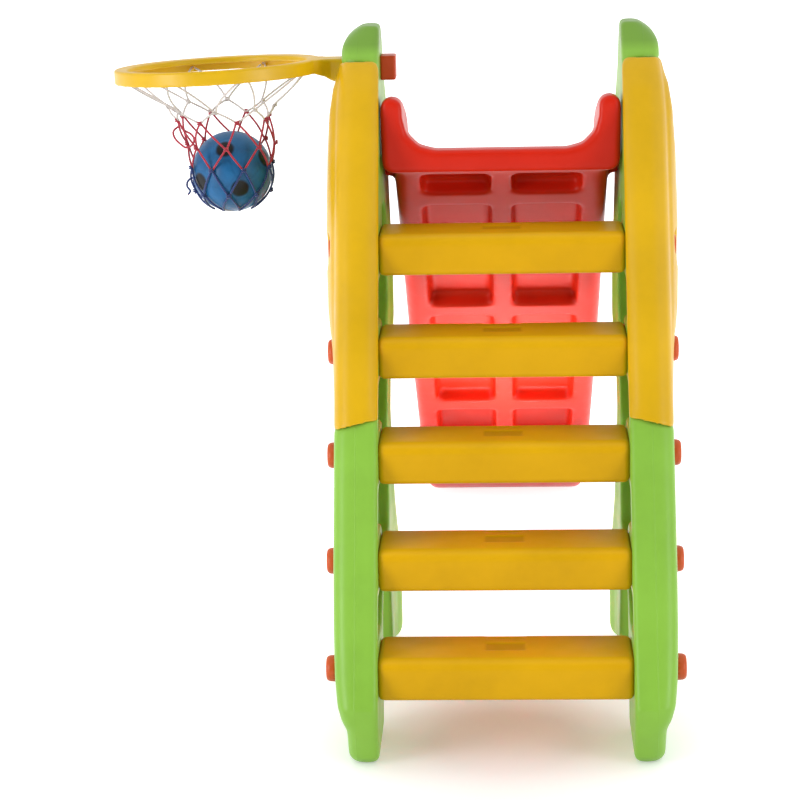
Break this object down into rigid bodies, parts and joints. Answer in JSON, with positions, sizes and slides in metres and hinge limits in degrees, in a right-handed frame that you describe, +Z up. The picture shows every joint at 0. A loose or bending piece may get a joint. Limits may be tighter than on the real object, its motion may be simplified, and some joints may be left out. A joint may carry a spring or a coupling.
{
  "type": "kids slide",
  "caption": "Free-standing plastic slide for toddlers with a closed-tread ladder between arched side panels, a double-walled chute and a side basketball hoop with net and ball.",
  "frame": {"origin": "on the floor, under the middle of the chute's flat foot, on the slide's mid-plane", "axes": "+Z up, +Y the way a child slides, from the ladder to the run-out, +X to the right of a child who climbs"},
  "size_m": [0.9409, 1.7662, 1.112],
  "materials": {
    "green_plastic": "satin blow-moulded polyethylene",
    "yellow_plastic": "satin blow-moulded polyethylene",
    "red_plastic": "semi-gloss blow-moulded polyethylene",
    "orange_plastic": "semi-gloss injection-moulded",
    "rust_plastic": "semi-gloss injection-moulded",
    "white_cord": "twisted nylon cord",
    "red_cord": "twisted nylon cord",
    "blue_cord": "twisted nylon cord",
    "blue_vinyl": "soft inflated vinyl"
  },
  "bodies": {
    "slide": {"left_side_panel": "green_plastic", "left_side_shell": "yellow_plastic", "step_knob_left_1": "orange_plastic", "step_knob_left_2": "orange_plastic", "step_knob_left_3": "orange_plastic", "step_knob_left_4": "orange_plastic", "step_knob_left_5": "orange_plastic", "chute_knob_left": "orange_plastic", "right_side_panel": "green_plastic", "right_side_shell": "yellow_plastic", "step_knob_right_1": "orange_plastic", "step_knob_right_2": "orange_plastic", "step_knob_right_3": "orange_plastic", "step_knob_right_4": "orange_plastic", "step_knob_right_5": "orange_plastic", "chute_knob_right": "orange_plastic", "step_1": "yellow_plastic", "step_2": "yellow_plastic", "step_3": "yellow_plastic", "step_4": "yellow_plastic", "step_5": "yellow_plastic", "slide_chute": "red_plastic", "hoop": "yellow_plastic", "hoop_lock": "rust_plastic", "net_white_upper": "white_cord", "net_white_lower": "white_cord", "net_red_upper": "red_cord", "net_red_lower": "red_cord", "net_blue_upper": "blue_cord", "net_blue_lower": "blue_cord"},
    "ball": {"ball": "blue_vinyl"}
  },
  "joints": [
    {"name": "ball_lift", "type": "slide", "parent": "slide", "child": "ball", "axis": [0, 0, 1], "range_m": [0, 0.3]}
  ]
}
